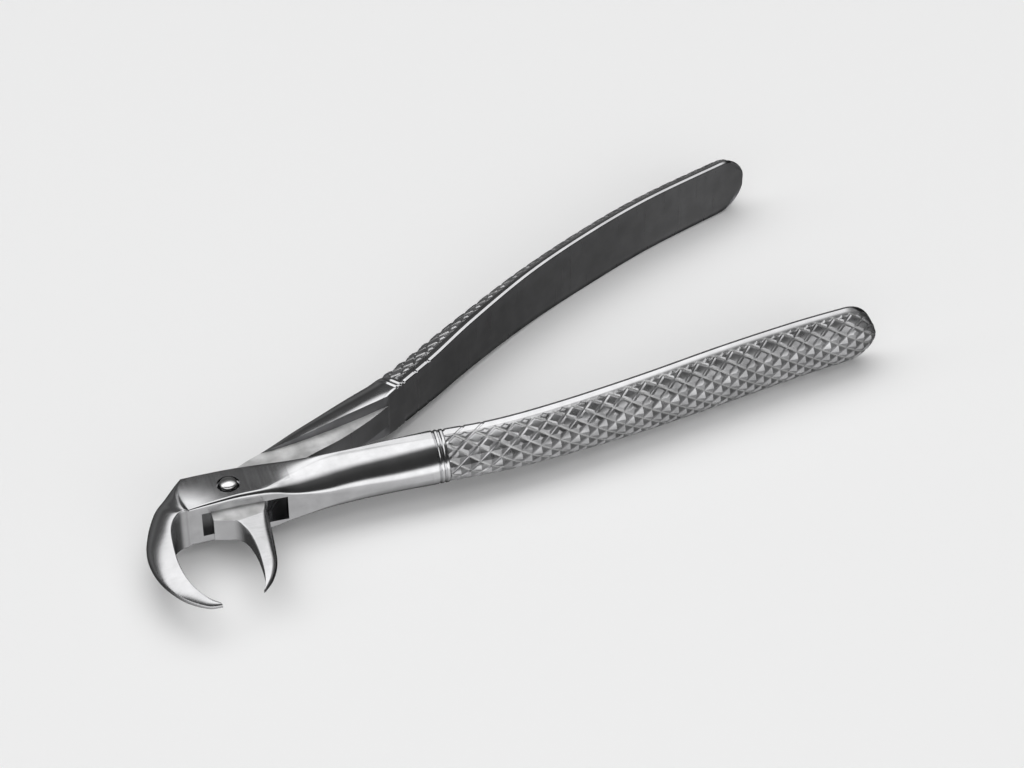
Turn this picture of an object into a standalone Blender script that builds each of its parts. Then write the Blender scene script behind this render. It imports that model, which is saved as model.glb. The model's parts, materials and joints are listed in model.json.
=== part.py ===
"""Extraction forceps for lower molars: two forged halves in a box joint on one rivet.

The halves move in one plane. X runs along the box towards the handle ends, Y points
from the beaks' side of the joint to the side where the second handle leaves it, and
Z is the rivet's axis. The origin is on that axis, at the joint's flat underside.
"""

import bmesh
import bpy
from math import cos, pi, sin
from mathutils import Vector

MM = 0.001

# Driving dimensions, in millimetres.
BOX_HALF = 5.2            # half the height of the box, so its middle plane is this high
TONGUE_HALF = 2.55        # half the thickness of the tongue and of the inner beak's foot
SLOT_GAP = 0.3            # running clearance between the tongue and the box's cheeks
SLOT_FRONT_X = -6.5       # end of the slot beside the outer beak
SLOT_BACK_X = 10.5        # end of the slot beside the neck
RIVET_RADIUS = 1.9
RIVET_GAP = 0.3
RIVET_HEAD_RADIUS = 1.9
RIVET_HEAD_PROUD = 0.8
COUNTERSINK_RADIUS = 2.3
COUNTERSINK_DEPTH = 0.8
HANDLE_END_RADIUS = 7.0   # the handle's round end, seen square to its flat face
GRIP_EDGE = 0.4           # chamfer along the flat inner face of a handle
RING_DEPTH = 0.5          # the two grooves that close the knurled grip
RING_WIDTH = 0.9

# How finely the forgings are faceted.
ARC_STEPS = 5             # facets on each rounded corner of a section
STATION_STEPS = 3         # sections from one listed station to the next
END_STEPS = 5             # sections round a handle's end

# A station is one section through a forging, square to the plane that it moves in.
# It lists: back point x, y; face point x, y; half height; the back corners' radius
# along the section and up; the face corners' radius along the section and up.

# Outer half: its back is the -Y side, its face the +Y side.
OUTER_BEAK = [
    (-8.7, -26.7, -8.4, -27.1, 0.4, 0.1, 0.1, 0.15, 0.2),
    (-10.7, -25.2, -11.2, -26.1, 1.1, 0.2, 0.3, 0.7, 0.8),
    (-12.8, -21.4, -14.9, -22.5, 2.1, 0.3, 0.4, 1.8, 1.7),
    (-13.9, -16.2, -17.9, -16.8, 2.9, 0.4, 0.5, 3.2, 2.4),
    (-13.6, -10.6, -18.8, -10.3, 3.6, 0.4, 0.6, 4.2, 3.0),
    (-12.9, -6.9, -17.4, -4.4, 4.2, 0.4, 0.6, 4.4, 3.6),
    (-11.3, -4.8, -14.2, 0.6, 4.8, 0.5, 0.6, 4.6, 4.1),
    (-9.6, -4.3, -10.6, 3.6, 5.1, 0.6, 0.6, 4.5, 3.0),
    (-8.8, -4.2, -8.6, 4.5, 5.2, 0.6, 0.5, 0.3, 0.3),
]
OUTER_BOX = [
    (-8.8, -4.2, -8.6, 4.5, 5.2, 0.6, 0.5, 0.3, 0.3),
    (1.0, -4.2, 1.0, 4.3, 5.2, 0.6, 0.4, 0.3, 0.3),
    (8.0, -4.6, 8.0, 3.6, 5.2, 0.9, 0.7, 0.3, 0.3),
    (13.0, -4.9, 13.0, 3.0, 5.15, 1.5, 2.0, 0.3, 0.3),
    (18.0, -5.1, 18.0, 2.7, 5.1, 3.2, 3.0, 0.3, 0.3),
    (25.0, -5.3, 25.0, 2.5, 5.1, 5.0, 3.4, 0.3, 0.3),
    (34.0, -5.8, 34.0, 2.6, 5.2, 7.0, 4.0, 0.4, 0.4),
]

# Inner half: its back is the tooth side of the beak, then the outside of the neck.
INNER_BEAK = [
    (-0.1, -25.7, 0.4, -25.4, 0.4, 0.1, 0.1, 0.15, 0.2),
    (0.8, -23.4, 2.6, -22.8, 1.3, 0.2, 0.3, 1.4, 1.0),
    (1.3, -19.6, 4.3, -19.1, 2.1, 0.3, 0.4, 2.0, 1.7),
    (1.4, -14.8, 5.1, -14.6, 2.7, 0.3, 0.4, 2.4, 2.3),
    (0.8, -10.4, 5.7, -9.8, 3.1, 0.3, 0.4, 2.4, 2.6),
    (-0.6, -7.9, 5.9, -6.9, 3.1, 0.3, 0.4, 1.4, 2.0),
    (-2.8, -7.0, 6.0, -4.8, 3.1, 0.3, 0.4, 0.6, 1.0),
    (-4.7, -6.3, 6.2, -3.5, 3.1, 0.3, 0.4, 0.3, 0.4),
]
INNER_TONGUE = [
    (-4.7, -6.3, 6.2, -3.5, 3.1, 0.3, 0.4, 0.3, 0.4),
    (-4.5, -3.0, 6.9, -1.9, 3.1, 0.3, 0.4, 0.3, 0.4),
    (-3.8, 0.2, 8.0, -0.6, 3.1, 0.3, 0.4, 0.3, 0.4),
    (-1.6, 3.6, 9.3, 0.6, 3.1, 0.4, 0.4, 0.3, 0.4),
    (4.2, 7.6, 12.0, 2.6, 3.0, 1.0, 1.0, 0.3, 0.4),
    (9.9, 10.7, 14.8, 4.4, 3.2, 3.0, 2.3, 0.3, 0.4),
    (16.2, 14.0, 19.4, 6.4, 3.7, 4.2, 3.0, 0.3, 0.4),
    (22.2, 16.9, 25.2, 8.6, 4.3, 5.4, 3.8, 0.3, 0.4),
    (28.2, 20.2, 32.2, 12.2, 4.9, 7.0, 4.6, 0.4, 0.4),
]

# Inner face of each grip, from its rings to its round end: x, y, half height, depth.
OUTER_GRIP = [
    (41.0, 2.4, 5.4, 8.6),
    (54.0, 1.4, 5.6, 7.6),
    (68.0, 1.7, 6.2, 6.6),
    (86.0, 3.4, 6.9, 5.8),
    (105.0, 6.3, 7.2, 5.6),
    (122.0, 8.8, 7.0, 5.5),
    (133.8, 10.0, 6.8, 5.3),
]
INNER_GRIP = [
    (38.6, 16.3, 5.4, 8.4),
    (49.0, 23.2, 5.6, 7.5),
    (60.5, 31.5, 6.1, 6.4),
    (77.0, 42.1, 6.8, 5.6),
    (94.0, 51.0, 7.1, 5.5),
    (110.0, 58.2, 7.0, 5.5),
    (129.3, 65.0, 6.8, 5.3),
]

# The outer half's slot, which widens behind the box so that the inner neck can nest.
SLOT_OUTLINE = [
    (SLOT_FRONT_X, -9.0),
    (SLOT_BACK_X, -9.0),
    (SLOT_BACK_X, -3.0),
    (15.0, -1.3),
    (19.5, -0.6),
    (26.0, -0.6),
    (32.0, 0.2),
    (42.0, 3.0),
    (42.0, 9.0),
    (SLOT_FRONT_X, 9.0),
]

# What is ground off both sides of the inner half, down to the tongue's thickness. Its
# wall is where the box's cheeks come to rest when the beaks close.
RECESS_OUTLINE = [
    (-16.0, -20.0),
    (44.0, -20.0),
    (44.0, 17.0),
    (35.7, 14.9),
    (30.7, 13.5),
    (23.7, 11.8),
    (17.2, 10.5),
    (11.5, 9.7),
    (4.0, 9.4),
    (-16.0, 9.4),
]


def blend(before, start, end, after, t):
    """A point of the smooth curve that runs through rows of numbers."""
    return tuple(
        b + 0.5 * t * (c - a + t * (2 * a - 5 * b + 4 * c - d + t * (3 * (b - c) + d - a)))
        for a, b, c, d in zip(before, start, end, after)
    )


def smooth_rows(rows, steps):
    """The rows with steps - 1 more rows between each two, on a smooth curve."""
    last = len(rows) - 1
    result = []
    for i in range(last):
        around = rows[max(i - 1, 0)], rows[i], rows[i + 1], rows[min(i + 2, last)]
        result += [blend(*around, k / steps) for k in range(steps)]
    return result + [tuple(rows[last])]


def ring_cut(distance):
    """Depth of the two ring grooves at a distance from the start of the grip."""
    for middle in (1.6, 3.2):
        if abs(distance - middle) < RING_WIDTH / 4:
            return RING_DEPTH
    return 0.0


def grip_station(point, inward, half, depth):
    """A D-shaped section: flat on the face, rounded all the way round the back."""
    back = point + inward * depth
    corner = depth - 2 * GRIP_EDGE
    return (back.x, back.y, point.x, point.y, half, corner, half - GRIP_EDGE, GRIP_EDGE, GRIP_EDGE)


def grip_stations(rows, side):
    """Sections of a grip: its rings, its swell and its round end. side is +1 or -1."""
    path = smooth_rows(rows, STATION_STEPS)
    start = Vector(path[0][:2])
    along = (Vector(path[1][:2]) - start).normalized()
    inward = Vector((-along.y, along.x)) * side
    stations = []
    half, depth = path[0][2:]
    for edge in (1.0, 1.5, 1.7, 2.3, 3.1, 3.3, 4.0):
        cut = ring_cut(edge)
        stations.append(grip_station(start + along * edge, inward, half - cut, depth - cut))
    for i in range(2, len(path)):
        point = Vector(path[i][:2])
        along = (point - Vector(path[i - 1][:2])).normalized()
        inward = Vector((-along.y, along.x)) * side
        stations.append(grip_station(point, inward, *path[i][2:]))
    half, depth = path[-1][2:]
    for i in range(1, END_STEPS):
        turn = pi / 2 * i / END_STEPS
        reach = point + along * HANDLE_END_RADIUS * sin(turn)
        stations.append(grip_station(reach, inward, half * cos(turn), depth * (0.55 + 0.45 * cos(turn))))
    return stations


def section(station):
    """The closed outline of a station, as points in the section's own plane."""
    half, back_run, back_rise, face_run, face_rise = station[4:]
    length = (Vector(station[2:4]) - Vector(station[0:2])).length
    top = []
    for i in range(ARC_STEPS + 1):
        turn = pi / 2 * i / ARC_STEPS
        top.append((back_run * (1 - cos(turn)), half - back_rise * (1 - sin(turn))))
    top += [(length - face_run, half), (length, half - face_rise)]
    return top + [(reach, -height) for reach, height in reversed(top)]


def placed(station):
    """A station's outline in space, in metres."""
    start = Vector(station[0:2])
    along = (Vector(station[2:4]) - start).normalized()
    points = []
    for reach, height in section(station):
        spot = start + along * reach
        points.append(Vector((spot.x, spot.y, BOX_HALF + height)) * MM)
    return points


def material(name, colour, roughness):
    """A plain metal finish."""
    finish = bpy.data.materials.new(name)
    finish.use_nodes = True
    shader = finish.node_tree.nodes["Principled BSDF"]
    shader.inputs["Base Color"].default_value = (*colour, 1.0)
    shader.inputs["Metallic"].default_value = 1.0
    shader.inputs["Roughness"].default_value = roughness
    return finish


def new_object(name, mesh, collection):
    """An object for a mesh, in a collection."""
    thing = bpy.data.objects.new(name, mesh)
    collection.objects.link(thing)
    return thing


def loft(name, stations, collection):
    """One closed body through all stations, with a flat cap on each end."""
    shape = bmesh.new()
    rings = [[shape.verts.new(p) for p in placed(s)] for s in stations]
    for one, other in zip(rings, rings[1:]):
        for i in range(len(one)):
            j = (i + 1) % len(one)
            shape.faces.new((one[i], one[j], other[j], other[i]))
    shape.faces.new(rings[0])
    shape.faces.new(rings[-1])
    bmesh.ops.recalc_face_normals(shape, faces=shape.faces)
    mesh = bpy.data.meshes.new(name)
    shape.to_mesh(mesh)
    shape.free()
    return new_object(name, mesh, collection)


def prism(name, outline, low, high, cutters):
    """An upright block with the outline as its plan; heights are from the middle plane."""
    shape = bmesh.new()
    base = [shape.verts.new(Vector((x, y, BOX_HALF + low)) * MM) for x, y in outline]
    floor = shape.faces.new(base)
    raised = bmesh.ops.extrude_face_region(shape, geom=[floor])["geom"]
    lifted = [item for item in raised if isinstance(item, bmesh.types.BMVert)]
    bmesh.ops.translate(shape, verts=lifted, vec=(0, 0, (high - low) * MM))
    bmesh.ops.recalc_face_normals(shape, faces=shape.faces)
    mesh = bpy.data.meshes.new(name)
    shape.to_mesh(mesh)
    shape.free()
    return as_cutter(new_object(name, mesh, cutters))


def cylinder(name, radius, low, high, cutters):
    """An upright cylinder on the rivet's axis; heights are from the middle plane."""
    shape = bmesh.new()
    bmesh.ops.create_cone(
        shape, cap_ends=True, segments=32, radius1=radius * MM, radius2=radius * MM,
        depth=(high - low) * MM,
    )
    bmesh.ops.translate(shape, verts=shape.verts, vec=(0, 0, (BOX_HALF + (low + high) / 2) * MM))
    mesh = bpy.data.meshes.new(name)
    shape.to_mesh(mesh)
    shape.free()
    return as_cutter(new_object(name, mesh, cutters))


def as_cutter(thing):
    """Marks an object as a cutting tool, which isn't part of the forceps."""
    thing.hide_render = True
    thing.display_type = "WIRE"
    return thing


def cut(thing, cutter):
    """Takes the cutter's shape out of a body."""
    modifier = thing.modifiers.new("cut_" + cutter.name, "BOOLEAN")
    modifier.operation = "DIFFERENCE"
    modifier.solver = "EXACT"
    modifier.object = cutter


def smooth(thing, angle):
    """Shades a round body smooth, with its real edges left sharp."""
    thing.data.shade_smooth()
    thing.data.set_sharp_from_angle(angle=angle)


def build_outer_half(parts, cutters):
    """The front beak, the slotted box and the first handle, forged in one piece."""
    stations = smooth_rows(OUTER_BEAK, STATION_STEPS)[:-1]
    stations += smooth_rows(OUTER_BOX, STATION_STEPS)
    stations += grip_stations(OUTER_GRIP, -1)
    half = loft("outer_half", stations, parts)
    slot_half = TONGUE_HALF + SLOT_GAP
    cut(half, prism("slot_cut", SLOT_OUTLINE, -slot_half, slot_half, cutters))
    cut(half, cylinder("rivet_hole_cut", RIVET_RADIUS + RIVET_GAP, -9.0, 9.0, cutters))
    ring_floor = BOX_HALF - COUNTERSINK_DEPTH
    cut(half, cylinder("countersink_cut", COUNTERSINK_RADIUS, ring_floor, 9.0, cutters))
    smooth(half, 0.6)
    half.data.materials.append(material("satin_steel", (0.55, 0.55, 0.56), 0.3))
    return half


def build_inner_half(parts, cutters):
    """The inner beak, the tongue through the slot and the second handle, in one piece."""
    stations = smooth_rows(INNER_BEAK, STATION_STEPS)[:-1]
    stations += smooth_rows(INNER_TONGUE, STATION_STEPS)
    stations += grip_stations(INNER_GRIP, 1)
    half = loft("inner_half", stations, parts)
    cut(half, prism("upper_recess_cut", RECESS_OUTLINE, TONGUE_HALF, 9.0, cutters))
    cut(half, prism("lower_recess_cut", RECESS_OUTLINE, -9.0, -TONGUE_HALF, cutters))
    cut(half, cylinder("tongue_hole_cut", RIVET_RADIUS + RIVET_GAP, -8.0, 8.0, cutters))
    smooth(half, 0.6)
    half.data.materials.append(material("polished_steel", (0.6, 0.6, 0.61), 0.22))
    return half


def build_rivet(parts):
    """The rivet: flush below, with a low flat-topped head in a shallow ring above."""
    top = 2 * BOX_HALF + RIVET_HEAD_PROUD
    ledge = 2 * BOX_HALF - COUNTERSINK_DEPTH / 2
    profile = [
        (0.0, top),
        (RIVET_HEAD_RADIUS - 0.4, top),
        (RIVET_HEAD_RADIUS - 0.1, top - 0.2),
        (RIVET_HEAD_RADIUS, top - 0.5),
        (RIVET_HEAD_RADIUS, ledge),
        (RIVET_RADIUS, ledge - 0.2),
        (RIVET_RADIUS, 0.0),
        (0.0, 0.0),
    ]
    mesh = bpy.data.meshes.new("joint_rivet")
    points = [(radius * MM, 0.0, height * MM) for radius, height in profile]
    mesh.from_pydata(points, [(i, i + 1) for i in range(len(points) - 1)], [])
    rivet = new_object("joint_rivet", mesh, parts)
    turn = rivet.modifiers.new("turned", "SCREW")
    turn.axis = "Z"
    turn.angle = 2 * pi
    turn.steps = 32
    turn.render_steps = 32
    turn.use_merge_vertices = True
    turn.merge_threshold = 0.00001
    rivet.data.materials.append(material("rivet_steel", (0.7, 0.7, 0.71), 0.18))
    return rivet


def clear_scene():
    """Removes what a new file holds."""
    for thing in list(bpy.data.objects):
        bpy.data.objects.remove(thing, do_unlink=True)


def new_collection(name):
    """A collection in the scene."""
    collection = bpy.data.collections.new(name)
    bpy.context.scene.collection.children.link(collection)
    return collection


def main():
    """Builds the forceps at rest, a little open."""
    clear_scene()
    parts = new_collection("extraction_forceps")
    cutters = new_collection("cutters")
    build_outer_half(parts, cutters)
    build_inner_half(parts, cutters)
    build_rivet(parts)


main()
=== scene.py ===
"""Looks of the lower-molar extraction forceps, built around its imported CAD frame.

Each forged half is rebuilt as two closed pieces, a smooth forging and a knurled grip,
which meet in the third of the three ring grooves in front of the grip. The rivet is
turned again with its low domed head. Lengths are in millimetres until they reach a mesh.
"""

import json
import math

import bmesh
import bpy
import numpy as np
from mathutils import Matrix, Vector


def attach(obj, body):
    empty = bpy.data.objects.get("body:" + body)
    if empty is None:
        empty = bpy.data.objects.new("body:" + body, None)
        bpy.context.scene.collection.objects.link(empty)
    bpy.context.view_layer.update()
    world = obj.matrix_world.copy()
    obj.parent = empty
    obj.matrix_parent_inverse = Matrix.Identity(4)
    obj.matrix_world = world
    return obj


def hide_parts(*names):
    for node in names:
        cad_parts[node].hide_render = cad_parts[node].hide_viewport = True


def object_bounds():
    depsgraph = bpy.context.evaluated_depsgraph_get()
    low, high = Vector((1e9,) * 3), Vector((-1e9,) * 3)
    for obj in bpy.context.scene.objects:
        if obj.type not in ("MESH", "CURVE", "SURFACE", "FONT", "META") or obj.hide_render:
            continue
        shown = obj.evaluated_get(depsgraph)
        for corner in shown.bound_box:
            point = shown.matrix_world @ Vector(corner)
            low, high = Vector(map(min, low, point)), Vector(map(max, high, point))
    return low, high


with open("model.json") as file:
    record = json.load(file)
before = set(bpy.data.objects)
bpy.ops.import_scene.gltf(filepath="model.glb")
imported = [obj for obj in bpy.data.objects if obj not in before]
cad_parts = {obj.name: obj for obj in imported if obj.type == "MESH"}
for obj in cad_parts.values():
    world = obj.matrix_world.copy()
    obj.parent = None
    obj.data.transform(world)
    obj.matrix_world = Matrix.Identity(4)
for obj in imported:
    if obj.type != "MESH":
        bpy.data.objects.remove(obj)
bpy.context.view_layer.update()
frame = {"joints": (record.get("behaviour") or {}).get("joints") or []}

MM = 0.001

# ------------------------------------------------------------------ driving dimensions

PIVOT = Vector(frame["joints"][0]["pos_m"])
MID = PIVOT.z / MM        # height of the middle plane of both halves, half the box's height
TONGUE_HALF = 2.55        # half height of the tongue where it passes through the box
SLOT_HALF = 2.85          # half height of the box's slot
SLOT_FRONT_X = -6.5       # where the slot opens and ends on the beaks' side
SLOT_BACK_X = 10.5
HOLE_RADIUS = 2.2         # bore for the rivet, in box and tongue
SINK_RADIUS = 2.3         # shallow sink round the rivet's head
SINK_DEPTH = 0.8
CLEAR = 9                 # how far from the middle plane a cutter reaches to pass right through
BORE_REACH = 8            # the same for the tongue's bore
ROUND = 64                # mesh steps round the rivet and its holes

HEAD_RADIUS = 1.7
HEAD_PROUD = 0.85         # how far the head's top stands above the box
HEAD_TOP = 2 * MID + HEAD_PROUD
DOME_SLOPE = math.radians(26)   # slope of the head's dome at its edge
DOME_POINTS = 10          # profile points across the dome
SHOULDER = 0.12           # the dome ends this far in, and a shoulder drops as far below it
SHOULDER_EDGE = 0.03      # the shoulder's small corner: this far in,
SHOULDER_FALL = 0.1       # and this far down
FOOT = 0.15               # chamfer round the rivet's flush lower end

FACE_EDGE = 0.65          # how far the edges of a grip's flat face are rolled over
EDGE_RISE = 0.3           # share of that by which they drop
KNURL_PITCH = 4.05        # one diamond along the grip
KNURL_ROUND = 6           # diamonds round the back of the grip
KNURL_STEPS = 20          # mesh steps in a diamond, each way
KNURL_DEPTH = 0.55        # from a full diamond's point down to the groove floors
KNURL_FLOOR = 0.1         # share of a diamond's half width that is flat groove floor
KNURL_PROUD = 0.15        # how far the diamonds stand above the D outline
PROUD_STEPS = 4           # mesh steps at the rings over which they come to stand so
FLAT_PEAK = 0.28          # height left of the diamonds next to the rims, which are worn flat
FLAT_END = 3.5            # distance from the flat face up to which they are worn like that
FLAT_REACH = 5.0          # further distance over which full points return
RUN_OUT = 52              # mesh steps from the rings in which grooves run out over the rims
STRAY_DEPTH = 0.16        # depth of those grooves
RIM_WIDTH = 1.2           # smooth band between the flat face and the knurl
RIM_COUNT = 7             # mesh steps in it
RIM_DROP = 0.2            # how far it lies below the D outline
RIM_STEP = 0.5            # distance over which it comes up to the knurl
RIM_SCALLOP = 0.45        # how far its edge waves, twice for each diamond
END_FADE = 3.0            # half height below which the knurl fades out round a grip's end
END_EDGE = 1.5            # half height below which the rolled edge narrows there
END_REACH = 0.999         # share of the round end's radius that is meshed
END_DEPTH = 0.5           # share of the grip's depth left at its very end
END_STRAIGHT = 30         # last path points that all take the same direction
GRIP_FORMS = (1.75, 1.95) # form of the grip's back at the rings, and further on
FORM_REACH = 4            # diamonds over which it changes from one to the other
ROLL_POINTS = 3           # mesh points round a rolled edge
FACE_POINTS = 7           # mesh points across the flat face

RING_START = 1.0          # from the neck's end to the first ring groove
RING_PITCH = 1.05         # from one ring groove to the next
RING_DEPTH = 0.3
RING_HALF = 0.32          # half width of a ring groove
GRIP_START = 3.0375       # from the neck's end to the grip's start, 15 knurl steps
FINE = 0.0125             # spacing of the path that the ring stations are picked from
RING_STRIDE = 8           # path points from one ring station to the next
NECK_AIM = 24             # path points at the neck's end that give its direction
SPIGOT = 0.6              # how much slimmer the forging is where the grip covers it
SPIGOT_REACH = 40         # path points that it goes on inside the grip
NECK_FORM = 1.6           # form of the back where the neck meets the grip
NECK_RUN = 0.72           # share of the depth there that the back corner takes
NECK_TILT = 0.16          # how far the top falls there from the face to the back corner
NECK_WALL = 0.05          # upright part left there between the two back corners

PATH_STEPS = 40           # steps between two rows of a grip's table before resampling
LOFT_STEPS = 8            # steps between two rows of a forging's table

FORGING_SHARP = math.radians(24)   # edges steeper than these stay sharp
KNURL_SHARP = math.radians(14)
RIVET_SHARP = math.radians(40)

# A station is one section through a forging: back point x, y; face point x, y; half
# height; back corner run, rise and form; face corner run, rise and form; crown; bow;
# tilt. A corner's form is 2 for an ellipse and less for one that is flatter in its
# middle. A crown drops the top at the back corner, or at the face corner if it is
# negative, on a curve. A tilt drops it at the back corner in a straight slope. A bow
# bends the section's line in plan.
OUTER_BEAK = [
    (-8.6, -26.4, -8.4, -27.1, 0.5, 0.1, 0.1, 2.0, 0.45, 0.35, 1.6, 0.0, 0.0, 0.0),
    (-10.6, -24.7, -11.2, -26.5, 0.95, 0.1, 0.1, 2.0, 1.7, 0.75, 1.6, 0.0, 0.0, 0.0),
    (-12.7, -21.1, -15.1, -22.9, 1.65, 0.15, 0.2, 2.0, 2.8, 1.35, 1.6, 0.0, 0.0, 0.0),
    (-13.8, -16.1, -18.0, -17.0, 2.6, 0.2, 0.25, 2.0, 4.0, 2.3, 1.6, 0.0, 0.0, 0.0),
    (-13.6, -10.6, -18.8, -10.3, 3.6, 0.3, 0.35, 2.0, 4.8, 3.2, 1.7, 0.0, 0.0, 0.0),
    (-12.9, -6.9, -17.4, -4.4, 4.2, 0.3, 0.35, 2.0, 4.8, 4.0, 1.7, 0.0, 0.2, 0.0),
    (-11.2, -4.8, -14.8, 1.0, 4.8, 0.35, 0.4, 2.0, 6.2, 4.6, 1.7, 0.0, 0.6, 0.0),
    (-9.5, -4.3, -11.5, 3.7, 4.95, 0.35, 0.4, 2.0, 7.6, 3.2, 1.7, 0.0, 0.9, 0.0),
    (-8.8, -4.2, -8.4, 4.5, 5.2, 0.4, 0.4, 2.0, 0.2, 0.2, 2.0, 0.6, 1.0, 0.0),
]
OUTER_BOX = [
    (-8.8, -4.2, -8.4, 4.5, 5.2, 0.4, 0.4, 2.0, 0.2, 0.2, 2.0, 0.6, 1.0, 0.0),
    (-5.0, -4.2, -4.8, 4.5, 5.2, 0.7, 0.7, 1.9, 0.2, 0.2, 2.0, 0.3, 0.3, 0.0),
    (1.0, -4.2, 1.0, 4.3, 5.2, 0.9, 0.9, 1.8, 0.2, 0.2, 2.0, 0.0, 0.0, 0.0),
    (6.0, -4.5, 6.0, 3.8, 5.2, 1.2, 1.0, 1.7, 0.2, 0.2, 2.0, 0.02, 0.0, 0.0),
    (8.6, -4.6, 8.6, 3.5, 5.2, 2.2, 1.25, 1.6, 0.2, 0.2, 2.0, 0.08, 0.0, 0.0),
    (11.0, -4.75, 11.0, 3.2, 5.17, 3.5, 1.8, 1.5, 0.2, 0.2, 2.0, 0.2, 0.0, 0.0),
    (13.7, -4.9, 13.7, 2.95, 5.14, 4.75, 2.3, 1.45, 0.2, 0.2, 2.0, 0.22, 0.0, 0.0),
    (18.7, -5.15, 18.7, 2.7, 5.1, 6.9, 3.55, 1.65, 0.2, 0.2, 2.0, 0.1, 0.0, 0.0),
    (22.0, -5.2, 22.0, 2.6, 5.1, 7.2, 4.1, 1.75, 0.2, 0.2, 2.0, 0.02, 0.0, 0.02),
    (26.0, -5.35, 26.0, 2.5, 5.1, 7.0, 4.6, 1.78, 0.2, 0.2, 2.0, 0.0, 0.0, 0.06),
    (33.0, -5.8, 33.0, 2.55, 5.19, 6.8, 5.0, 1.7, 0.25, 0.25, 2.0, 0.0, 0.0, 0.12),
]
INNER_BEAK = [
    (-0.1, -25.7, 0.4, -25.4, 0.4, 0.1, 0.1, 2.0, 0.2, 0.2, 2.0, 0.0, 0.0, 0.0),
    (0.8, -23.4, 2.6, -22.8, 0.9, 0.15, 0.2, 2.0, 0.8, 0.7, 2.0, 0.0, 0.0, 0.0),
    (1.3, -19.6, 4.3, -19.1, 1.35, 0.2, 0.25, 2.0, 1.3, 1.1, 2.0, 0.0, 0.0, 0.0),
    (1.4, -14.8, 5.1, -14.6, 1.85, 0.25, 0.3, 2.0, 1.6, 1.6, 2.0, 0.0, 0.0, 0.0),
    (0.8, -10.4, 5.7, -9.8, 2.28, 0.3, 0.35, 2.0, 1.7, 1.8, 2.0, 0.0, 0.0, 0.0),
    (-0.6, -7.9, 5.9, -6.9, 2.54, 0.3, 0.35, 2.0, 1.2, 1.4, 2.0, 0.0, 0.0, 0.0),
    (-2.8, -7.0, 6.0, -4.8, 2.75, 0.25, 0.3, 2.0, 0.6, 0.8, 2.0, 0.0, 0.0, 0.0),
    (-4.7, -6.3, 6.2, -3.5, 2.9, 0.25, 0.3, 2.0, 0.3, 0.4, 2.0, 0.0, 0.0, 0.0),
]
INNER_TONGUE = [
    (-4.7, -6.3, 6.2, -3.5, 2.9, 0.25, 0.3, 2.0, 0.3, 0.4, 2.0, 0.0, 0.0, 0.0),
    (-4.5, -3.0, 6.9, -1.9, 3.0, 0.3, 0.4, 2.0, 0.3, 0.4, 2.0, 0.0, 0.0, 0.0),
    (-3.8, 0.2, 8.0, -0.6, 3.1, 0.3, 0.4, 2.0, 0.3, 0.4, 2.0, 0.0, 0.0, 0.0),
    (-1.6, 3.6, 9.3, 0.6, 3.1, 0.4, 0.4, 2.0, 0.3, 0.4, 2.0, 0.0, 0.0, 0.0),
    (4.2, 7.6, 12.0, 2.6, 3.0, 1.0, 1.0, 2.0, 0.3, 0.4, 2.0, 0.0, 0.0, 0.0),
    (9.9, 10.7, 14.8, 4.4, 3.3, 2.6, 2.0, 2.0, 0.3, 0.4, 2.0, -0.1, 0.0, 0.0),
    (16.2, 14.0, 19.4, 6.4, 3.9, 3.6, 2.8, 2.0, 0.2, 0.2, 2.0, -0.4, 0.0, 0.0),
    (22.2, 16.9, 25.2, 8.6, 4.6, 4.8, 3.8, 2.0, 0.2, 0.2, 2.0, -0.5, 0.0, 0.0),
    (28.2, 20.2, 32.2, 12.2, 5.1, 6.0, 4.6, 1.8, 0.2, 0.2, 2.0, -0.4, 0.0, 0.0),
]

# Flat inner face of each grip: x, y, half height, depth behind the face.
OUTER_GRIP = [
    (41.0, 2.4, 5.4, 8.6),
    (54.0, 1.4, 5.6, 7.6),
    (68.0, 1.7, 6.2, 6.6),
    (86.0, 3.4, 6.9, 5.8),
    (105.0, 6.3, 7.2, 5.6),
    (122.0, 8.8, 7.0, 5.5),
    (133.8, 10.0, 6.8, 5.3),
]
INNER_GRIP = [
    (38.6, 16.3, 5.4, 8.4),
    (49.0, 23.2, 5.6, 7.5),
    (60.5, 31.5, 6.1, 6.4),
    (77.0, 42.1, 6.8, 5.6),
    (94.0, 51.0, 7.1, 5.5),
    (110.0, 58.2, 7.0, 5.5),
    (129.3, 65.0, 6.8, 5.3),
]

# Plan of the box's slot, and of the recess that leaves the inner half's tongue.
SLOT_OUTLINE = [
    (SLOT_FRONT_X, -9.0),
    (SLOT_BACK_X, -9.0),
    (SLOT_BACK_X, -3.0),
    (15.0, -1.3),
    (19.5, -0.6),
    (26.0, -0.6),
    (32.0, 0.2),
    (42.0, 3.0),
    (42.0, 9.0),
    (SLOT_FRONT_X, 9.0),
]
RECESS_OUTLINE = [
    (-16.0, -20.0),
    (44.0, -20.0),
    (44.0, 17.0),
    (35.7, 14.9),
    (30.7, 13.5),
    (23.7, 11.8),
    (17.2, 10.5),
    (11.5, 9.7),
    (4.0, 9.4),
    (-16.0, 9.4),
]


# ------------------------------------------------------------------------- small tools

def smooth_rows(rows, steps):
    """The rows as an array, with steps - 1 more rows between each two, on a smooth curve."""
    rows = np.array(rows, float)
    padded = np.vstack([rows[:1], rows, rows[-1:]])
    result = []
    for i in range(len(rows) - 1):
        a, b, c, d = padded[i:i + 4]
        for t in np.arange(steps) / steps:
            curve = 2 * a - 5 * b + 4 * c - d + t * (3 * (b - c) + d - a)
            result.append(b + 0.5 * t * (c - a + t * curve))
    result.append(rows[-1])
    return np.array(result)


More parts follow.
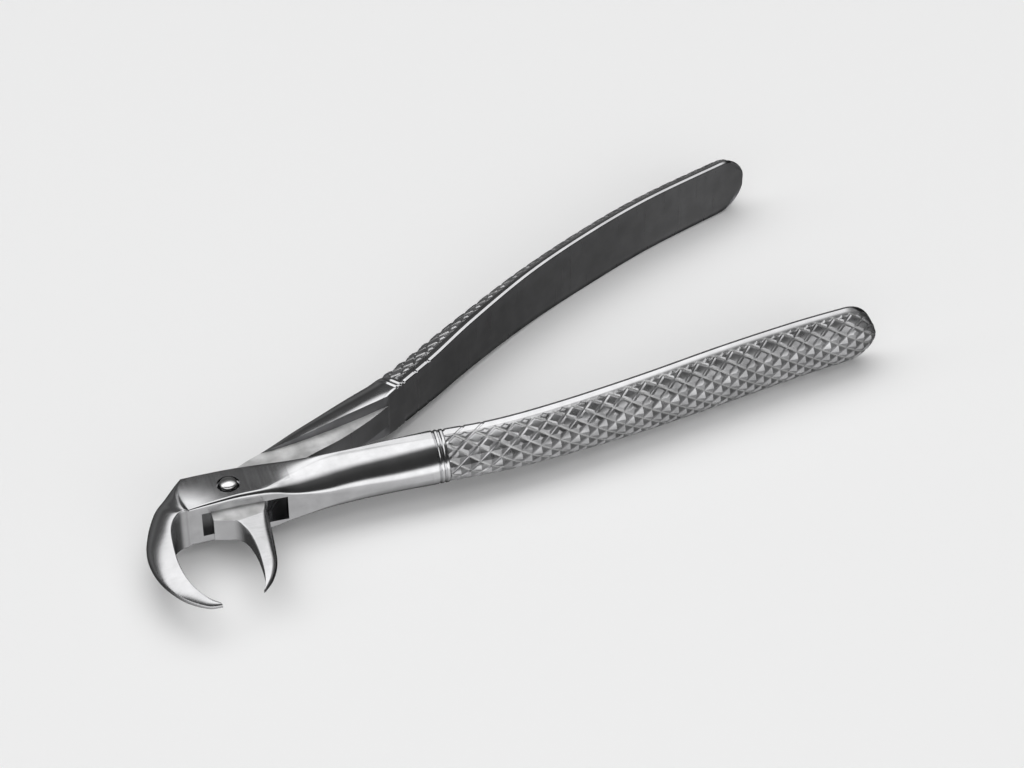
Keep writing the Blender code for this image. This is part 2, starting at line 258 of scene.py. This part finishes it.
def resampled(rows, step):
    """A smooth path through the rows with a row at every step of its length."""
    fine = smooth_rows(rows, PATH_STEPS)
    reach = np.concatenate([[0], np.cumsum(np.hypot(*np.diff(fine[:, :2], axis=0).T))])
    stops = np.arange(0, reach[-1], step)
    return np.stack([np.interp(stops, reach, column) for column in fine.T], axis=1)


def ease(value):
    """Smooth step from 0 to 1."""
    value = np.clip(value, 0, 1)
    return value * value * (3 - 2 * value)


def mesh_object(name, points, faces):
    """A mesh object from points in millimetres."""
    mesh = bpy.data.meshes.new(name)
    mesh.from_pydata((np.asarray(points) * MM).tolist(), [], faces)
    mesh.validate()
    thing = bpy.data.objects.new(name, mesh)
    bpy.context.scene.collection.objects.link(thing)
    return thing


def tube_faces(rings, around):
    """Quads between rings of points, with a cap on both ends."""
    faces = []
    for r in range(rings - 1):
        for i in range(around):
            j = (i + 1) % around
            faces.append((r * around + i, r * around + j, (r + 1) * around + j, (r + 1) * around + i))
    faces.append(tuple(range(around)))
    faces.append(tuple(reversed(range((rings - 1) * around, rings * around))))
    return faces


def face_out(thing):
    """Turns a closed mesh's faces outward."""
    shape = bmesh.new()
    shape.from_mesh(thing.data)
    bmesh.ops.recalc_face_normals(shape, faces=shape.faces)
    shape.to_mesh(thing.data)
    shape.free()


# ------------------------------------------------------------------- forgings by loft

ARC = 16                  # mesh steps round a back corner
TOP = 8                   # mesh steps across the top
CORNER = 10               # mesh steps round a face corner
GRIP_SWEEP = math.radians(80)   # a grip's back meets its rims at a slight angle


def corner(run, rise, form, steps, sweep=math.pi / 2):
    """A corner from its upright side to its top, as distance in and distance below the top."""
    turn = np.linspace(0, sweep, steps + 1)
    reach = 1 - np.cos(turn) ** (2 / form)
    climb = np.sin(turn) ** (2 / form)
    return np.stack([run * reach / reach[-1], rise * (climb / climb[-1] - 1)], axis=1)


def section(station):
    """Points of a station: distance along its line, and height from the middle plane."""
    half, back_run, back_rise, back_form, face_run, face_rise, face_form, crown = station[4:12]
    tilt = station[13]
    length = math.hypot(station[2] - station[0], station[3] - station[1])
    low = half - max(crown, 0) - tilt
    back = corner(back_run, back_rise, back_form, ARC) + (0, low)
    face = corner(face_run, face_rise, face_form, CORNER)[::-1] * (-1, 1)
    face += (length, half + min(crown, 0))
    share = np.linspace(0, 1, TOP + 1)[1:-1]
    drop = crown * (1 - share) ** 2 if crown > 0 else -crown * share ** 2
    across = back_run + share * (length - face_run - back_run)
    flat = np.stack([across, half - drop - tilt * (1 - share)], axis=1)
    top = np.vstack([back, flat, face])
    below = top[::-1] * (1, -1)
    return np.vstack([top, below]), length


def placed(station):
    """A station's outline in space."""
    outline, length = section(station)
    start = np.array(station[0:2])
    along = (np.array(station[2:4]) - start) / length
    side = np.array([-along[1], along[0]])
    share = np.clip(outline[:, 0] / length, 0, 1)
    bow = station[12] * 4 * share * (1 - share)
    plan = start + outline[:, :1] * along + bow[:, None] * side
    return np.column_stack([plan, MID + outline[:, 1]])


def ring_dip(distance):
    """Depth of the ring grooves at a distance from the first of them."""
    dips = [1 - abs(distance - k * RING_PITCH) / RING_HALF for k in range(3)]
    return RING_DEPTH * max(0.0, *dips)


def neck_end(grip, side):
    """Stations from the neck's end through the rings, up to just inside the grip."""
    path = resampled(grip, FINE)
    ahead = path[NECK_AIM, :2] - path[0, :2]
    along = ahead / np.hypot(*ahead)
    inward = np.array([-along[1], along[0]]) * side
    start = round(GRIP_START / FINE)
    stations = []
    for k in [*range(0, start, RING_STRIDE), start, start + 1, start + SPIGOT_REACH]:
        row = path[k]
        inside = k > start
        dip = SPIGOT if inside else ring_dip(k * FINE - RING_START)
        back = row[:2] + inward * (row[3] - dip)
        face = row[:2] + inward * (SPIGOT if inside else 0)
        half = row[2] - dip
        run = NECK_RUN * math.hypot(*(back - face))
        rise = half - NECK_TILT - NECK_WALL
        stations.append((
            *back, *face, half, run, rise, NECK_FORM,
            FACE_EDGE, FACE_EDGE * EDGE_RISE, 2.0, 0.0, 0.0, NECK_TILT
        ))
    return stations


def forging(name, beak, box, grip, side):
    """Beak, box or tongue, neck and rings as one closed body."""
    neck = neck_end(grip, side)
    front = smooth_rows(beak, LOFT_STEPS)[:-1]
    rear = smooth_rows(box + [neck[0]], LOFT_STEPS)[:-1]
    stations = list(front) + list(rear) + neck
    points = np.vstack([placed(s) for s in stations])
    around = len(points) // len(stations)
    thing = mesh_object(name, points, tube_faces(len(stations), around))
    face_out(thing)
    return thing


def prism(outline, low, high):
    """An upright cutting block; heights are from the middle plane."""
    count = len(outline)
    points = [(x, y, MID + z) for z in (low, high) for x, y in outline]
    thing = mesh_object("cutter", points, tube_faces(2, count))
    face_out(thing)
    return thing


def cylinder(radius, low, high):
    """A round cutter on the rivet's axis; heights are from the middle plane."""
    turn = np.linspace(0, 2 * math.pi, ROUND + 1)[:-1]
    return prism([(radius * math.cos(t), radius * math.sin(t)) for t in turn], low, high)


def cut(thing, cutter):
    """Takes a cutter out of a body for good."""
    modifier = thing.modifiers.new("cut", "BOOLEAN")
    modifier.operation = "DIFFERENCE"
    modifier.solver = "EXACT"
    modifier.object = cutter
    apply_modifiers(thing)
    bpy.data.objects.remove(cutter, do_unlink=True)


def apply_modifiers(thing):
    """Replaces a mesh by what its modifiers make of it."""
    depsgraph = bpy.context.evaluated_depsgraph_get()
    made = bpy.data.meshes.new_from_object(thing.evaluated_get(depsgraph))
    thing.modifiers.clear()
    old = thing.data
    thing.data = made
    bpy.data.meshes.remove(old)


def shade(thing, angle):
    """Smooth shading with sharp edges kept, weighted so that flats stay flat."""
    thing.data.shade_smooth()
    thing.data.set_sharp_from_angle(angle=angle)
    weighted = thing.modifiers.new("flat_normals", "WEIGHTED_NORMAL")
    weighted.keep_sharp = True
    apply_modifiers(thing)


# ---------------------------------------------------------------------- knurled grips

def grip_path(rows):
    """Stations of the grip at knurl steps, then round its end."""
    step = KNURL_PITCH / KNURL_STEPS
    path = resampled(rows, step)[round(GRIP_START / step):]
    along = path[-1, :2] - path[-4, :2]
    along /= np.hypot(*along)
    radius = path[-1, 2]
    ends = []
    for reach in np.arange(step, radius * END_REACH, step):
        share = math.sqrt(1 - (reach / radius) ** 2)
        spot = path[-1, :2] + along * reach
        depth = path[-1, 3] * (END_DEPTH + (1 - END_DEPTH) * share)
        ends.append((*spot, radius * share, depth))
    return np.vstack([path, ends])


def groove_gap(index):
    """Steps from a mesh line to the nearest groove of one family."""
    half = KNURL_STEPS // 2
    return np.abs((index + half) % KNURL_STEPS - half)


def knurl_height(i, j):
    """Height in a diamond, from 0 on its groove floors to 1 at its point."""
    share = np.minimum(groove_gap(i + j), groove_gap(i - j)) / (KNURL_STEPS // 2)
    return np.maximum(share - KNURL_FLOOR, 0) / (1 - KNURL_FLOOR)


def back_arc(half, depth, form, count):
    """Evenly spaced points round the D's back, and their outward normals."""
    curve = corner(depth - FACE_EDGE, half, form, 90, GRIP_SWEEP) * (-1, 1) + (depth, half)
    curve = np.vstack([curve[::-1], curve[1:] * (1, -1)])
    reach = np.concatenate([[0], np.cumsum(np.hypot(*np.diff(curve, axis=0).T))])
    stops = np.linspace(0, reach[-1], count + 1)
    points = np.stack([np.interp(stops, reach, column) for column in curve.T], axis=1)
    along = np.gradient(points, axis=0)
    normals = np.stack([-along[:, 1], along[:, 0]], axis=1)
    return points, normals / np.linalg.norm(normals, axis=1)[:, None], reach[-1]


def knurl_cut(index, side_count, length, side):
    """How far each point of one section's back is cut in, knurl and rims together."""
    j = np.arange(side_count + 1)
    from_edge = np.minimum(j, side_count - j) * length / side_count
    peak = FLAT_PEAK + (1 - FLAT_PEAK) * ease((from_edge - FLAT_END) / FLAT_REACH)
    height = np.minimum(knurl_height(index, j - side_count // 2), peak)
    groove = KNURL_DEPTH * (peak - height)
    scallop = RIM_SCALLOP * abs(math.sin(2 * math.pi * index / KNURL_STEPS))
    rim = RIM_DROP * (1 - ease((from_edge - RIM_WIDTH - scallop) / RIM_STEP))
    stray = groove_gap(index - side * (j - side_count // 2)) <= 1
    return np.maximum(groove, rim) + np.where(stray & (index < RUN_OUT), STRAY_DEPTH, 0)


def face_points(half, top):
    """The upper rolled edge of a section, from the back on, and its flat face from above."""
    edge = FACE_EDGE * min(1.0, half / END_EDGE)
    turn = np.linspace(0, math.pi / 2, ROLL_POINTS + 1)[1:]
    roll = EDGE_RISE * edge * (1 - np.cos(turn))
    upper = np.stack([FACE_EDGE - edge * np.sin(turn), top - roll], axis=1)
    low = upper[-1, 1]
    heights = np.linspace(low, -low, FACE_POINTS + 2)[1:-1]
    return upper, np.stack([np.full(FACE_POINTS, FACE_EDGE - edge), heights], axis=1)


def grip_ring(row, index, side_count, side):
    """One section of the grip: the cut back, then the flat face."""
    half, depth = row[2:]
    change = ease(index / (FORM_REACH * KNURL_STEPS))
    form = GRIP_FORMS[0] + (GRIP_FORMS[1] - GRIP_FORMS[0]) * change
    points, normals, length = back_arc(half, depth, form, side_count)
    fade = min(1.0, half / END_FADE)
    proud = KNURL_PROUD * ease(index / PROUD_STEPS)
    cut_in = knurl_cut(index, side_count, length, side)
    points = points - normals * (fade * (cut_in - proud))[:, None]
    upper, flat = face_points(half, points[0, 1])
    return np.vstack([points, upper[::-1] * (1, -1), flat[::-1], upper])


def grip_faces(rows, side_count, around, side):
    """Faces of a grip, each split along its groove, and which lie on a groove floor that gets a
    painted highlight.
    """
    faces = []
    highlight_floors = []
    for r in range(rows - 1):
        for i in range(around):
            k = (i + 1) % around
            a, b = r * around + i, r * around + k
            d, c = a + around, b + around
            if i >= side_count:
                faces.append((a, b, c, d))
                highlight_floors.append(False)
                continue
            j = i - side_count // 2
            # Only one family of grooves, chosen by side, gets its floors painted lighter as a painted
            # highlight.
            if groove_gap(r + j + 1) < groove_gap(r - j):
                halves = ((a, b, d), (b, c, d))
                lifts = (r + j, r + j + 2)
                bright = side > 0
            else:
                halves = ((a, b, c), (a, c, d))
                lifts = (r - j - 1, r - j + 1)
                bright = side < 0
            for triangle, lift in zip(halves, lifts):
                faces.append(triangle)
                highlight_floors.append(bright and groove_gap(lift) <= 1)
    faces.append(tuple(range(around)))
    faces.append(tuple(reversed(range((rows - 1) * around, rows * around))))
    return faces, highlight_floors + [False, False]


def paint_grip(thing, highlight_floors, side_count, around):
    """Picks each face's material: knurl 0, flat face with painted shade 1, groove floor with painted
    highlight 2, rim or edge 3.
    """
    face_end = side_count + ROLL_POINTS + FACE_POINTS
    for face, floor in zip(thing.data.polygons, highlight_floors):
        spot = min(v % around for v in face.vertices)
        on_rim = min(spot, side_count - spot) < RIM_COUNT or spot > face_end
        on_face = side_count + ROLL_POINTS <= spot <= face_end
        face.material_index = 1 if on_face else 3 if on_rim else 2 if floor else 0


def grip(name, rows, side, materials):
    """A D-shaped grip with a diamond knurl cut into its round back."""
    path = grip_path(rows)
    side_count = KNURL_ROUND * KNURL_STEPS
    tangent = np.gradient(path[:, :2], axis=0)
    tangent /= np.hypot(*tangent.T)[:, None]
    tangent[-END_STRAIGHT:] = tangent[-END_STRAIGHT - 1]
    inward = np.stack([-tangent[:, 1], tangent[:, 0]], axis=1) * side
    points = []
    for i, row in enumerate(path):
        ring = grip_ring(row, i, side_count, side)
        plan = row[:2] + inward[i] * ring[:, :1]
        points.append(np.column_stack([plan, MID + ring[:, 1]]))
    around = len(points[0])
    faces, highlight_floors = grip_faces(len(path), side_count, around, side)
    thing = mesh_object(name, np.vstack(points), faces)
    for material in materials:
        thing.data.materials.append(material)
    paint_grip(thing, highlight_floors, side_count, around)
    face_out(thing)
    thing.data.shade_smooth()
    thing.data.set_sharp_from_angle(angle=KNURL_SHARP)
    return thing


# --------------------------------------------------------------------------- materials

BLOTCH_SCALE = 260.0          # blotches in a metre
BLOTCH_RANGE = (0.35, 0.7)    # noise from the darkest blotch to the clean colour
LEAST_ROUGH = 0.02
GRAIN_HEIGHT = 0.00002        # relief of the grain at full strength, in metres

# Indices of a forging's materials.
SATIN, BRUSHED, POLISHED, CUT, PAINTED_SHADE, BEAK, WALL = range(7)

# How squarely a face must look for a finish or for painted shade, and where these change, in
# millimetres.
LEVEL = 0.97                  # up or down, for the box's top
FLOOR_LEVEL = 0.95            # up or down, for the recess's floor
SQUARE = 0.9                  # to the side
BOX_TOP = (-10, 12)           # x range of the box's brushed top
OUTER_BEAK_X = -9             # the outer beak lies before this x,
OUTER_BEAK_Y = -6.5           # or before this y
INNER_BEAK_Y = -3
NECK_X = 12                   # the outer neck's inner face, with painted shade, starts here
OUTER_SIDE_X = 40             # its satin outer side ends here
RECESS_X = 2                  # the inner recess's end wall, with painted shade, is past this x
INNER_NECK_X = 8              # the inner neck's face, with painted shade, starts here
INNER_FACING = Vector((0.5, -0.86, 0))    # the way that face looks
FLUSH = 0.02                  # how near a face is to a height to count as lying in it

def node(tree, kind, **values):
    """A shader node with its properties set."""
    made = tree.nodes.new(kind)
    for key, value in values.items():
        setattr(made, key, value)
    return made


def noise(tree, vector, scale, detail):
    """A noise texture that varies with a vector."""
    made = node(tree, "ShaderNodeTexNoise")
    made.inputs["Scale"].default_value = scale
    made.inputs["Detail"].default_value = detail
    tree.links.new(vector, made.inputs["Vector"])
    return made.outputs["Fac"]


def map_range(tree, value, source, target):
    """A value moved from one range to another, and held inside it."""
    made = node(tree, "ShaderNodeMapRange")
    made.inputs["From Min"].default_value = source[0]
    made.inputs["From Max"].default_value = source[1]
    made.inputs["To Min"].default_value = target[0]
    made.inputs["To Max"].default_value = target[1]
    tree.links.new(value, made.inputs["Value"])
    return made.outputs["Result"]


def mottled_colour(tree, vector, colour, mottle):
    """A colour with darker blotches, by up to the mottle."""
    blotch = noise(tree, vector, BLOTCH_SCALE, 4.0)
    paint = node(tree, "ShaderNodeMix", data_type="RGBA", blend_type="MULTIPLY")
    paint.inputs["Factor"].default_value = 1.0
    paint.inputs["A"].default_value = (*colour, 1.0)
    tint = map_range(tree, blotch, BLOTCH_RANGE, (1.0 - mottle, 1.0))
    tree.links.new(tint, paint.inputs["B"])
    return paint.outputs["Result"]


def steel(name, colour, roughness, grain, depth, spread=0.08, mottle=0.15, metallic=1.0):
    """Steel whose roughness and relief follow a directional grain, with blotches of colour."""
    material = bpy.data.materials.new(name)
    material.use_nodes = True
    tree = material.node_tree
    shader = tree.nodes["Principled BSDF"]
    shader.inputs["Metallic"].default_value = metallic
    place = node(tree, "ShaderNodeTexCoord").outputs["Object"]
    stretch = node(tree, "ShaderNodeMapping")
    stretch.inputs["Scale"].default_value = grain
    tree.links.new(place, stretch.inputs["Vector"])
    lines = noise(tree, stretch.outputs["Vector"], 1.0, 3.0)
    shine = (max(LEAST_ROUGH, roughness - spread), roughness + spread)
    tree.links.new(map_range(tree, lines, (0.0, 1.0), shine), shader.inputs["Roughness"])
    tree.links.new(mottled_colour(tree, place, colour, mottle), shader.inputs["Base Color"])
    bump = node(tree, "ShaderNodeBump")
    bump.inputs["Strength"].default_value = depth
    bump.inputs["Distance"].default_value = GRAIN_HEIGHT
    tree.links.new(lines, bump.inputs["Height"])
    tree.links.new(bump.outputs["Normal"], shader.inputs["Normal"])
    return material


def paint_by(thing, materials, choose):
    """Gives each face the material whose index choose(centre, normal) returns."""
    thing.data.materials.clear()
    for material in materials:
        thing.data.materials.append(material)
    for face in thing.data.polygons:
        face.material_index = choose(face.center / MM, face.normal)


# ------------------------------------------------------------------------ the pieces

def build_outer():
    """Outer half's forging, with its slot, bore and countersink."""
    body = forging("outer_forging", OUTER_BEAK, OUTER_BOX, OUTER_GRIP, -1)
    cut(body, prism(SLOT_OUTLINE, -SLOT_HALF, SLOT_HALF))
    cut(body, cylinder(HOLE_RADIUS, -CLEAR, CLEAR))
    cut(body, cylinder(SINK_RADIUS, MID - SINK_DEPTH, CLEAR))
    shade(body, FORGING_SHARP)
    return body


def build_inner():
    """Inner half's forging, with its tongue, recess and bore."""
    body = forging("inner_forging", INNER_BEAK, INNER_TONGUE, INNER_GRIP, 1)
    cut(body, prism(RECESS_OUTLINE, TONGUE_HALF, CLEAR))
    cut(body, prism(RECESS_OUTLINE, -CLEAR, -TONGUE_HALF))
    cut(body, cylinder(HOLE_RADIUS, -BORE_REACH, BORE_REACH))
    shade(body, FORGING_SHARP)
    return body


def build_rivet():
    """The rivet, turned: flush below, low domed head with a small shoulder above."""
    radii = np.linspace(0, HEAD_RADIUS - SHOULDER, DOME_POINTS)
    sphere = HEAD_RADIUS / math.sin(DOME_SLOPE)
    profile = [(r, HEAD_TOP - sphere + math.sqrt(sphere ** 2 - r ** 2)) for r in radii]
    shoulder = profile[-1][1] - SHOULDER
    in_sink = 2 * MID - SINK_DEPTH / 2
    profile += [(HEAD_RADIUS - SHOULDER_EDGE, shoulder), (HEAD_RADIUS, shoulder - SHOULDER_FALL)]
    profile += [(HEAD_RADIUS, in_sink), (HEAD_RADIUS, FOOT), (HEAD_RADIUS - FOOT, 0.0), (0.0, 0.0)]
    mesh = bpy.data.meshes.new("rivet")
    spans = [(k, k + 1) for k in range(len(profile) - 1)]
    mesh.from_pydata([(r * MM, 0, z * MM) for r, z in profile], spans, [])
    thing = bpy.data.objects.new("rivet", mesh)
    bpy.context.scene.collection.objects.link(thing)
    turn = thing.modifiers.new("turned", "SCREW")
    turn.axis = "Z"
    turn.steps = ROUND
    turn.render_steps = ROUND
    turn.use_merge_vertices = True
    turn.merge_threshold = 0.00001
    apply_modifiers(thing)
    face_out(thing)
    thing.data.shade_smooth()
    thing.data.set_sharp_from_angle(angle=RIVET_SHARP)
    return thing


# ---------------------------------------------------------------------------- studio

AIM = Vector((63.62, 16.45, 5.2)) * MM    # the point that the camera looks at
CAMERA_DISTANCE = 0.5804                  # in metres
CAMERA_AZIMUTH = math.radians(-19)
CAMERA_ELEVATION = math.radians(40)

# Light from the studio by angle in degrees, up from the front and over to the back.
STUDIO = [
    (-180, 0.15), (-150, 0.05), (-120, 0.05), (-90, 0.32), (-42, 0.6), (12, 0.75), (20, 1.4),
    (34, 1.4), (43, 0.07), (50, 0.04), (68, 0.05), (86, 0.1), (98, 1.4), (126, 1.4),
    (134, 0.1), (165, 0.06), (180, 0.15),
]
SIDE_RANGE = (0.3, 0.75)      # the studio fades between these x parts of a direction
SIDE_LEFT = 0.22              # share of its light left past them


def add_camera():
    """A 100 mm lens above the beaks' side, turned a little to the left."""
    data = bpy.data.cameras.new("camera")
    data.lens = 100
    data.sensor_width = 36
    data.clip_start = 0.01
    camera = bpy.data.objects.new("camera", data)
    bpy.context.scene.collection.objects.link(camera)
    level = math.cos(CAMERA_ELEVATION)
    back = Vector((
        math.sin(CAMERA_AZIMUTH) * level, -math.cos(CAMERA_AZIMUTH) * level, math.sin(CAMERA_ELEVATION)
    ))
    camera.location = AIM + back * CAMERA_DISTANCE
    camera.rotation_euler = (-back).to_track_quat("-Z", "Y").to_euler()
    bpy.context.scene.camera = camera


def add_floor():
    """A wide pale floor that the grips rest on."""
    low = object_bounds()[0][2]
    bpy.ops.mesh.primitive_plane_add(size=6, location=(0, 0, low))
    floor = bpy.context.object
    floor.name = "floor"
    material = bpy.data.materials.new("pale_floor")
    material.use_nodes = True
    shader = material.node_tree.nodes["Principled BSDF"]
    shader.inputs["Base Color"].default_value = (0.86, 0.86, 0.86, 1)
    shader.inputs["Roughness"].default_value = 0.6
    shader.inputs["Specular IOR Level"].default_value = 0.2
    floor.data.materials.append(material)
    floor.visible_glossy = False


def add_light(name, location, target, size, power):
    """A square soft light for the floor, which the steel doesn't mirror."""
    data = bpy.data.lights.new(name, "AREA")
    data.size = size
    data.energy = power
    light = bpy.data.objects.new(name, data)
    light.location = location
    light.rotation_euler = (Vector(target) - Vector(location)).to_track_quat("-Z", "Y").to_euler()
    light.visible_glossy = False
    bpy.context.scene.collection.objects.link(light)


def add_world():
    """Softbox above and behind, thin strip low in front, dark between, and a pale ground."""
    world = bpy.data.worlds.new("studio")
    bpy.context.scene.world = world
    world.use_nodes = True
    tree = world.node_tree
    place = node(tree, "ShaderNodeTexCoord")
    parts = node(tree, "ShaderNodeSeparateXYZ")
    tree.links.new(place.outputs["Generated"], parts.inputs["Vector"])
    front = node(tree, "ShaderNodeMath", operation="MULTIPLY")
    front.inputs[1].default_value = -1.0
    tree.links.new(parts.outputs["Y"], front.inputs[0])
    angle = node(tree, "ShaderNodeMath", operation="ARCTAN2")
    tree.links.new(parts.outputs["Z"], angle.inputs[0])
    tree.links.new(front.outputs[0], angle.inputs[1])
    share = node(tree, "ShaderNodeMapRange")
    share.inputs["From Min"].default_value = -math.pi
    share.inputs["From Max"].default_value = math.pi
    tree.links.new(angle.outputs[0], share.inputs["Value"])
    ramp = node(tree, "ShaderNodeValToRGB")
    tree.links.new(share.outputs["Result"], ramp.inputs["Fac"])
    elements = ramp.color_ramp.elements
    elements[0].position = 0.0
    elements[1].position = 1.0
    for degrees, _ in STUDIO[1:-1]:
        elements.new((degrees + 180) / 360)
    for element, (_, value) in zip(elements, STUDIO):
        element.color = (value, value, value, 1)
    side = node(tree, "ShaderNodeMapRange", interpolation_type="SMOOTHSTEP")
    side.inputs["From Min"].default_value = SIDE_RANGE[0]
    side.inputs["From Max"].default_value = SIDE_RANGE[1]
    side.inputs["To Min"].default_value = 1.0
    side.inputs["To Max"].default_value = SIDE_LEFT
    tree.links.new(parts.outputs["X"], side.inputs["Value"])
    shader = tree.nodes["Background"]
    tree.links.new(ramp.outputs["Color"], shader.inputs["Color"])
    tree.links.new(side.outputs["Result"], shader.inputs["Strength"])


def forging_steels():
    """The forgings' materials, in the order of their indices."""
    return [
        steel("satin_side", (0.66, 0.66, 0.67), 0.2, (90, 90, 1800), 0.12, 0.05),
        steel("brushed_top", (0.6, 0.6, 0.61), 0.16, (2200, 60, 60), 0.22, 0.05),
        steel("polished_neck", (0.7, 0.7, 0.71), 0.13, (300, 300, 300), 0.05, 0.03),
        steel("cut_recess", (0.72, 0.72, 0.72), 0.6, (700, 300, 300), 0.8, 0.1, 0.4, 0.3),
        # brushed grain on a darker base colour, which is painted shade for the flat faces
        steel("brushed_face_painted_shade", (0.5, 0.5, 0.51), 0.3, (1500, 1500, 40), 0.3),
        steel("satin_beak", (0.68, 0.68, 0.69), 0.24, (500, 2600, 500), 0.3, 0.06, 0.12),
        # dark base colour: painted shade on the recess's end wall
        steel("recess_wall_painted_shade", (0.3, 0.3, 0.31), 0.35, (1500, 1500, 40), 0.3),
    ]


def outer_finish(centre, normal):
    """Which finish a face of the outer forging has, with painted shade on the neck's inner face."""
    if abs(normal.z) > LEVEL and BOX_TOP[0] < centre.x < BOX_TOP[1]:
        return BRUSHED
    if centre.x < OUTER_BEAK_X or centre.y < OUTER_BEAK_Y:
        return BEAK
    if normal.y < -SQUARE and centre.x < OUTER_SIDE_X:
        return SATIN
    if normal.y > SQUARE and centre.x > NECK_X:
        return PAINTED_SHADE
    return POLISHED


def inner_finish(centre, normal):
    """Which finish a face of the inner forging has, with painted shade on the recess's end wall and on
    the neck's face.
    """
    height = abs(centre.z - MID)
    if abs(height - TONGUE_HALF) < FLUSH and abs(normal.z) > FLOOR_LEVEL:
        return CUT
    # the recess's end wall gets painted shade
    if normal.y < -SQUARE and centre.x > RECESS_X and height > TONGUE_HALF:
        return WALL
    if normal.dot(INNER_FACING) > SQUARE and centre.x > INNER_NECK_X:
        return PAINTED_SHADE
    if centre.y < INNER_BEAK_Y:
        return BEAK
    return POLISHED


def build_pieces():
    """Builds every piece, paints it and ties it to its body."""
    forged = forging_steels()
    knurled = steel("knurled_grip", (0.64, 0.64, 0.65), 0.3, (900, 900, 900), 0.5, 0.1, 0.4, 0.94)
    # light base colour: a painted highlight along one family of groove floors
    groove = steel("groove_floor_painted_highlight", (0.85, 0.85, 0.85), 0.5, (900, 900, 900), 0.3)
    # the rivet's polished steel, with a lighter base colour than the forgings that adds a painted
    # highlight to its head
    bright = steel("rivet_painted_highlight", (0.88, 0.88, 0.88), 0.22, (800, 800, 800), 0.1)
    # the grips' flat faces take the steel with painted shade, and one family of groove floors takes
    # the steel with a painted highlight
    gripped = [knurled, forged[PAINTED_SHADE], groove, forged[POLISHED]]
    outer = build_outer()
    inner = build_inner()
    outer_handle = grip("outer_grip", OUTER_GRIP, -1, gripped)
    inner_handle = grip("inner_grip", INNER_GRIP, 1, gripped)
    rivet = build_rivet()
    paint_by(outer, forged, outer_finish)
    paint_by(inner, forged, inner_finish)
    rivet.data.materials.append(bright)

    for piece in (outer, outer_handle):
        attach(piece, "outer")
        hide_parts("outer_half")
    for piece in (inner, inner_handle):
        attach(piece, "inner")
        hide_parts("inner_half")
    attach(rivet, "outer")
    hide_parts("joint_rivet")


def main():
    """Builds the pieces and the studio they stand in."""
    build_pieces()
    add_camera()
    add_floor()
    add_world()
    add_light("overhead", (0.06, 0.3, 1.4), (0.06, 0.02, 0), 2.6, 15)
    add_light("front_fill", (0.0, -1.2, 1.0), (0.06, 0.02, 0), 2.4, 8)
    bpy.context.scene.view_settings.view_transform = "Standard"


main()
